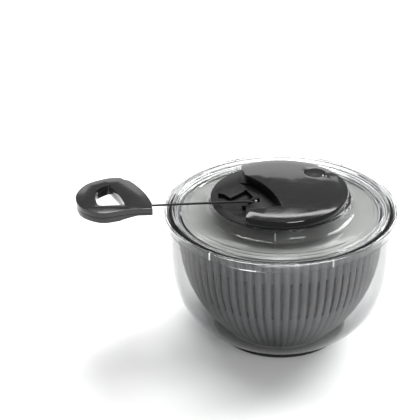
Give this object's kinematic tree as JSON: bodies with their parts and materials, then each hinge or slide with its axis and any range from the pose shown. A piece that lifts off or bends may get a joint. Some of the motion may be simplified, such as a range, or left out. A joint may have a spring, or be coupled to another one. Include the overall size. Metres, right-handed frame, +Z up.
{
  "type": "salad spinner",
  "caption": "Clear bowl with a slotted spinning basket inside, and a clear lid whose corded pull handle drives the basket; a button brakes it.",
  "frame": {"origin": "centre of the bowl's flat underside, on the spin axis", "axes": "+Z up along the spin axis; the cord pulls out along -X, and +Y is to the left of a puller who faces the bowl"},
  "size_m": [0.3612, 0.264, 0.182],
  "materials": {
    "clear_plastic": "clear, polished",
    "clear_lid": "clear, polished",
    "clear_inner": "clear, polished",
    "black_rubber": "matte",
    "pad_rubber": "matte",
    "grey_satin": "satin",
    "black_gloss": "polished",
    "handle_gloss": "polished",
    "button_gloss": "polished",
    "black_satin": "satin",
    "white_acetal": "satin",
    "steel": "drawn",
    "cord": "braided"
  },
  "bodies": {
    "bowl": {"bowl": "clear_plastic", "base_ring": "black_rubber"},
    "basket": {"basket": "grey_satin"},
    "lid": {"lid": "clear_lid", "top_cover": "black_gloss", "mechanism_base": "black_satin", "axle": "steel", "axle_clip": "steel", "cord_eyelet": "steel", "base_screw_1": "steel", "base_screw_2": "steel", "base_screw_3": "steel", "recoil_spring": "steel", "brake_spring": "steel", "thrust_washer": "steel"},
    "handle": {"handle_upper": "handle_gloss", "handle_lower": "handle_gloss", "handle_screw_1": "steel", "handle_screw_2": "steel", "cord_knot": "cord", "pull_cord": "cord"},
    "spool": {"spool": "white_acetal", "spool_cap": "white_acetal", "cord_winding": "cord", "pawl_pin_1": "steel", "pawl_pin_2": "steel"},
    "pawl_1": {"pawl_1": "steel"},
    "pawl_2": {"pawl_2": "steel"},
    "drive": {"drive_hub": "white_acetal", "basket_cover": "clear_inner", "hub_screw_1": "steel", "hub_screw_2": "steel", "hub_screw_3": "steel"},
    "brake": {"brake_button": "button_gloss", "brake_pad": "pad_rubber"}
  },
  "joints": [
    {"name": "basket_spin", "type": "hinge", "parent": "bowl", "child": "basket", "pos_m": [0, 0, 0.008], "axis": [0, 0, 1], "continuous": true},
    {"name": "lid_lift", "type": "slide", "parent": "bowl", "child": "lid", "axis": [0, 0, 1], "range_m": [0, 0.2]},
    {"name": "handle_pull", "type": "slide", "parent": "lid", "child": "handle", "axis": [-1, 0, 0], "range_m": [-0.13821, 0.2419], "stiffness_N_per_m": 12, "springref_m": -0.1382, "deforming": ["pull_cord"]},
    {"name": "spool_spin", "type": "hinge", "parent": "lid", "child": "spool", "pos_m": [0, 0, 0.159], "axis": [0, 0, -1], "range_deg": [-481, 841]},
    {"name": "pawl_1_swing", "type": "hinge", "parent": "spool", "child": "pawl_1", "pos_m": [0.00925, 0.01602, 0.153], "axis": [0, 0, 1], "range_deg": [0, 14]},
    {"name": "pawl_2_swing", "type": "hinge", "parent": "spool", "child": "pawl_2", "pos_m": [-0.00925, -0.01602, 0.153], "axis": [0, 0, 1], "range_deg": [0, 14]},
    {"name": "drive_spin", "type": "hinge", "parent": "lid", "child": "drive", "pos_m": [0, 0, 0.145], "axis": [0, 0, 1], "continuous": true},
    {"name": "brake_press", "type": "slide", "parent": "lid", "child": "brake", "axis": [0, 0, -1], "range_m": [0, 0.004], "stiffness_N_per_m": 600, "springref_m": -0.003, "deforming": ["brake_spring"]}
  ],
  "couplings": [
    {"joint": "spool_spin", "follows": "handle_pull", "rad_per_m": 60.606},
    {"joint": "drive_spin", "follows": "basket_spin", "ratio": 1},
    {"joint": "pawl_2_swing", "follows": "pawl_1_swing", "ratio": 1}
  ]
}
